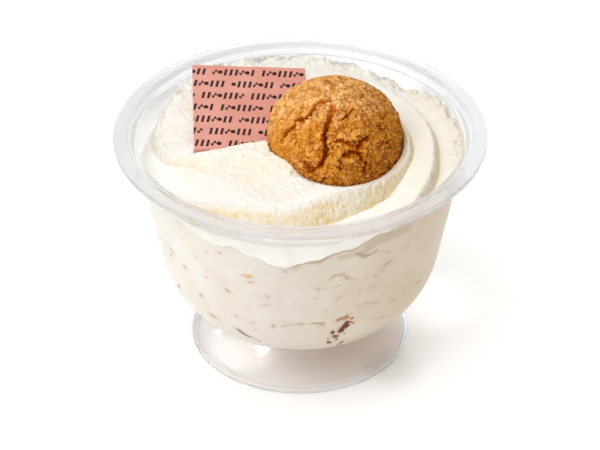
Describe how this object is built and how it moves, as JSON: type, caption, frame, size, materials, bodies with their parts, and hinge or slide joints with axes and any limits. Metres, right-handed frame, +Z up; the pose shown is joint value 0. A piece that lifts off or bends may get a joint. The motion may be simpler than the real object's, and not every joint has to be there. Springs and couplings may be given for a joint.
{
  "type": "chipolata pudding",
  "caption": "Light pudding with fruit in a clear footed cup, topped with swirled whipped cream, a thin pink chocolate square and a cracked almond macaroon.",
  "frame": {"origin": "middle of the foot's underside, on the surface that the cup stands on", "axes": "+Z up along the cup's axis, -Y towards the front where the macaroon shows its main crack, +X to the right as seen from the front"},
  "size_m": [0.101, 0.1008, 0.0793],
  "materials": {
    "clear_plastic": "clear, smooth and colourless",
    "pudding": "soft, slightly moist and faintly speckled",
    "whipped_cream": "soft white with a rough, airy face on the outside of the folds",
    "pink_chocolate": "smooth with a low sheen and rows of dark marks",
    "macaroon_crust": "dry, golden brown, crackled and grainy",
    "raisin": "dark and moist",
    "candied_peel": "orange, moist and half clear"
  },
  "bodies": {
    "root": {"cup": "clear_plastic", "pudding": "pudding", "whipped_cream": "whipped_cream", "chocolate_square": "pink_chocolate", "almond_macaroon": "macaroon_crust", "raisin": "raisin", "raisin_sliver": "raisin", "candied_peel": "candied_peel"}
  },
  "joints": []
}
